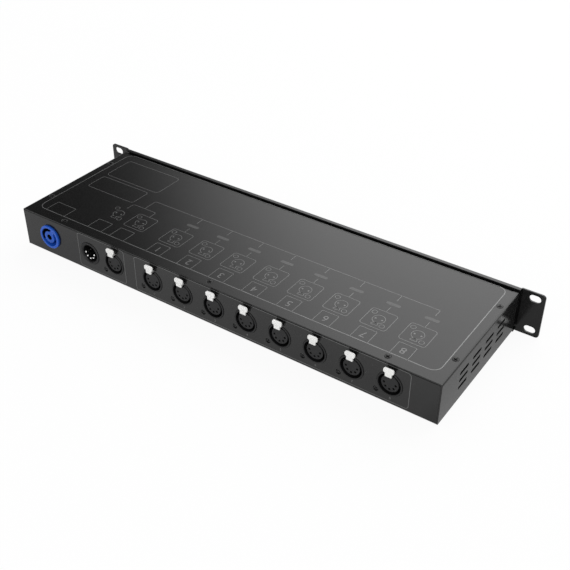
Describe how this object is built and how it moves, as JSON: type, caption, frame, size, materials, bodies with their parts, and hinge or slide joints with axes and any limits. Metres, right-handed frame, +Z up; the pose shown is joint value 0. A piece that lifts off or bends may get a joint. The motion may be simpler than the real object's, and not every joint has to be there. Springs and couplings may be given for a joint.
{
  "type": "dmx splitter",
  "caption": "Rack-mount lighting control splitter: a five-pin input and link socket feed a row of isolated output sockets; twist-lock power inlet on the rear.",
  "frame": {"origin": "middle of the plane in which the rear faces of the ears meet the rack", "axes": "+X to the end that holds the power inlet, +Y to the back of the case, +Z up"},
  "size_m": [0.4826, 0.1531, 0.0436],
  "materials": {
    "case_paint": "satin black powder coat with a fine grain",
    "black_screw": "black oxide, slightly glossy",
    "connector_screw": "black zinc plate",
    "steel": "bright zinc plate",
    "inlet_blue": "moulded, semi-gloss",
    "shell_black": "moulded, satin",
    "insert_plastic": "moulded, matt",
    "latch_white": "moulded, smooth",
    "contact_metal": "gold-flashed brass",
    "pin_metal": "bright silver plate",
    "board_green": "solder mask over laminate",
    "chip_black": "moulded epoxy",
    "opto_white": "moulded epoxy",
    "transformer": "varnished laminations",
    "capacitor": "shrink sleeve",
    "switch_black": "moulded, semi-gloss",
    "lamp": "tinted epoxy lens"
  },
  "bodies": {
    "chassis": {"base_tray": "case_paint", "top_cover": "case_paint", "front_panel": "case_paint", "cover_screws": "black_screw", "cover_inserts": "steel", "panel_screws": "black_screw", "panel_nuts": "steel", "power_inlet": "inlet_blue", "inlet_nut": "insert_plastic", "inlet_tabs": "contact_metal", "input_shell": "shell_black", "input_insert": "shell_black", "input_pins": "pin_metal", "link_shell": "shell_black", "output_1_shell": "shell_black", "output_2_shell": "shell_black", "output_3_shell": "shell_black", "output_4_shell": "shell_black", "output_5_shell": "shell_black", "output_6_shell": "shell_black", "output_7_shell": "shell_black", "output_8_shell": "shell_black", "link_insert": "insert_plastic", "output_1_insert": "insert_plastic", "output_2_insert": "insert_plastic", "output_3_insert": "insert_plastic", "output_4_insert": "insert_plastic", "output_5_insert": "insert_plastic", "output_6_insert": "insert_plastic", "output_7_insert": "insert_plastic", "output_8_insert": "insert_plastic", "socket_contacts": "contact_metal", "latch_springs": "steel", "connector_screws": "connector_screw", "socket_board": "board_green", "main_board": "board_green", "board_links": "chip_black", "line_drivers": "chip_black", "opto_isolators": "opto_white", "isolated_converters": "chip_black", "standoffs": "steel", "board_screws": "steel", "supply_board": "board_green", "supply_transformer": "transformer", "supply_capacitors": "capacitor", "switch_body": "switch_black", "switch_tabs": "contact_metal", "status_lamps": "lamp", "lamp_board": "board_green", "earth_stud": "contact_metal"},
    "link_latch_body": {"link_latch": "latch_white"},
    "output_1_latch_body": {"output_1_latch": "latch_white"},
    "output_2_latch_body": {"output_2_latch": "latch_white"},
    "output_3_latch_body": {"output_3_latch": "latch_white"},
    "output_4_latch_body": {"output_4_latch": "latch_white"},
    "output_5_latch_body": {"output_5_latch": "latch_white"},
    "output_6_latch_body": {"output_6_latch": "latch_white"},
    "output_7_latch_body": {"output_7_latch": "latch_white"},
    "output_8_latch_body": {"output_8_latch": "latch_white"},
    "rocker": {"switch_rocker": "switch_black"}
  },
  "joints": [
    {"name": "link_latch_push", "type": "slide", "parent": "chassis", "child": "link_latch_body", "axis": [0, -1, 0], "range_m": [0, 0.002], "stiffness_N_per_m": 400, "deforming": ["latch_springs"]},
    {"name": "output_1_latch_push", "type": "slide", "parent": "chassis", "child": "output_1_latch_body", "axis": [0, -1, 0], "range_m": [0, 0.002], "stiffness_N_per_m": 400, "deforming": ["latch_springs"]},
    {"name": "output_2_latch_push", "type": "slide", "parent": "chassis", "child": "output_2_latch_body", "axis": [0, -1, 0], "range_m": [0, 0.002], "stiffness_N_per_m": 400, "deforming": ["latch_springs"]},
    {"name": "output_3_latch_push", "type": "slide", "parent": "chassis", "child": "output_3_latch_body", "axis": [0, -1, 0], "range_m": [0, 0.002], "stiffness_N_per_m": 400, "deforming": ["latch_springs"]},
    {"name": "output_4_latch_push", "type": "slide", "parent": "chassis", "child": "output_4_latch_body", "axis": [0, -1, 0], "range_m": [0, 0.002], "stiffness_N_per_m": 400, "deforming": ["latch_springs"]},
    {"name": "output_5_latch_push", "type": "slide", "parent": "chassis", "child": "output_5_latch_body", "axis": [0, -1, 0], "range_m": [0, 0.002], "stiffness_N_per_m": 400, "deforming": ["latch_springs"]},
    {"name": "output_6_latch_push", "type": "slide", "parent": "chassis", "child": "output_6_latch_body", "axis": [0, -1, 0], "range_m": [0, 0.002], "stiffness_N_per_m": 400, "deforming": ["latch_springs"]},
    {"name": "output_7_latch_push", "type": "slide", "parent": "chassis", "child": "output_7_latch_body", "axis": [0, -1, 0], "range_m": [0, 0.002], "stiffness_N_per_m": 400, "deforming": ["latch_springs"]},
    {"name": "output_8_latch_push", "type": "slide", "parent": "chassis", "child": "output_8_latch_body", "axis": [0, -1, 0], "range_m": [0, 0.002], "stiffness_N_per_m": 400, "deforming": ["latch_springs"]},
    {"name": "rocker_tip", "type": "hinge", "parent": "chassis", "child": "rocker", "pos_m": [0.184, 0.004, 0], "axis": [-1, 0, 0], "range_deg": [0, 16]}
  ]
}
